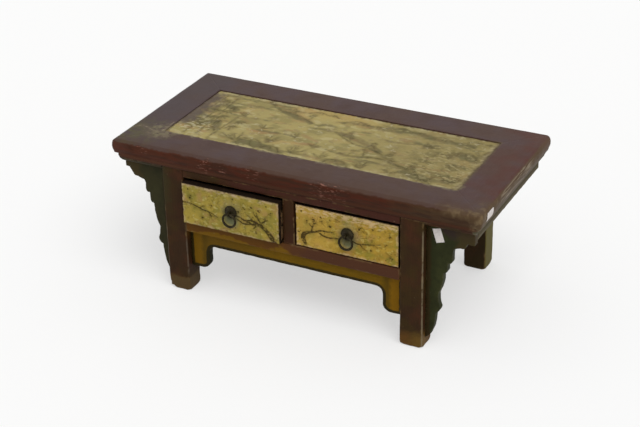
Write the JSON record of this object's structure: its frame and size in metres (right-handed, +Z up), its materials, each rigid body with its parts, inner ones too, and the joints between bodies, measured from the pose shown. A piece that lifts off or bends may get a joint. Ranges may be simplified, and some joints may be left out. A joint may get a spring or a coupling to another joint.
{
  "type": "kang table",
  "caption": "Low kang table with a mitred framed top, recessed legs, carved wing brackets, an open apron and drawers with ring pulls.",
  "frame": {"origin": "on the floor, below the middle of the top", "axes": "+X to the right as seen from the front, +Y from the front to the back, +Z up"},
  "size_m": [0.83, 0.422, 0.33],
  "materials": {
    "top_lacquer": "worn brown lacquer, greyish on the flat",
    "painted_panel": "aged painted ground in olive cream, rubbed pale at the edges",
    "stand_lacquer": "dark red-brown lacquer, worn on the arrises and feet",
    "skirt_lacquer": "dark red-brown lacquer",
    "carved_paint": "dark green paint on carved wood",
    "apron_paint": "ochre paint, darker along its edges",
    "drawer_paint_left": "olive-cream paint with brushed branches",
    "drawer_paint_right": "golden ochre paint with brushed branches",
    "bare_wood": "planed softwood, darkened by age",
    "dark_iron": "dark wrought iron, rubbed bright where it is handled",
    "bamboo": "split bamboo",
    "bare_paper": "plain white paper, unprinted"
  },
  "bodies": {
    "table": {"top_frame_front": "top_lacquer", "top_frame_rear": "top_lacquer", "top_frame_left": "top_lacquer", "top_frame_right": "top_lacquer", "top_panel": "painted_panel", "leg_front_left": "stand_lacquer", "leg_front_right": "stand_lacquer", "leg_rear_left": "stand_lacquer", "leg_rear_right": "stand_lacquer", "front_top_rail": "stand_lacquer", "front_bottom_rail": "stand_lacquer", "rear_top_rail": "stand_lacquer", "rear_bottom_rail": "stand_lacquer", "centre_stile": "stand_lacquer", "side_top_rail_left": "stand_lacquer", "side_top_rail_right": "stand_lacquer", "side_bottom_rail_left": "stand_lacquer", "side_bottom_rail_right": "stand_lacquer", "side_board_left": "stand_lacquer", "side_board_right": "stand_lacquer", "cornice_front_left": "skirt_lacquer", "cornice_front_right": "skirt_lacquer", "cornice_rear_left": "skirt_lacquer", "cornice_rear_right": "skirt_lacquer", "cornice_left": "skirt_lacquer", "cornice_right": "skirt_lacquer", "end_board_left": "skirt_lacquer", "end_board_right": "skirt_lacquer", "wing_bracket_left": "carved_paint", "wing_bracket_right": "carved_paint", "front_apron": "apron_paint", "top_batten_left": "bare_wood", "top_batten_right": "bare_wood", "back_board": "bare_wood", "drawer_runner_left": "bare_wood", "drawer_runner_centre": "bare_wood", "drawer_runner_right": "bare_wood", "cornice_pins": "bamboo"},
    "left_drawer": {"drawer_left_front": "drawer_paint_left", "drawer_left_side_left": "bare_wood", "drawer_left_side_right": "bare_wood", "drawer_left_back": "bare_wood", "drawer_left_bottom": "bare_wood", "drawer_left_nails": "dark_iron", "drawer_left_rosette": "dark_iron", "drawer_left_staple": "dark_iron"},
    "right_drawer": {"drawer_right_front": "drawer_paint_right", "drawer_right_side_left": "bare_wood", "drawer_right_side_right": "bare_wood", "drawer_right_back": "bare_wood", "drawer_right_bottom": "bare_wood", "drawer_right_nails": "dark_iron", "drawer_right_rosette": "dark_iron", "drawer_right_staple": "dark_iron"},
    "left_ring": {"drawer_left_ring": "dark_iron"},
    "right_ring": {"drawer_right_ring": "dark_iron"}
  },
  "joints": [
    {"name": "left_drawer_slide", "type": "slide", "parent": "table", "child": "left_drawer", "axis": [0, -1, 0], "range_m": [-0.014, 0.206]},
    {"name": "right_drawer_slide", "type": "slide", "parent": "table", "child": "right_drawer", "axis": [0, -1, 0], "range_m": [0, 0.22]},
    {"name": "left_ring_swing", "type": "hinge", "parent": "left_drawer", "child": "left_ring", "pos_m": [-0.12625, -0.217, 0.2235], "axis": [-1, 0, 0], "range_deg": [0, 100]},
    {"name": "right_ring_swing", "type": "hinge", "parent": "right_drawer", "child": "right_ring", "pos_m": [0.13125, -0.203, 0.2235], "axis": [-1, 0, 0], "range_deg": [0, 100]}
  ]
}
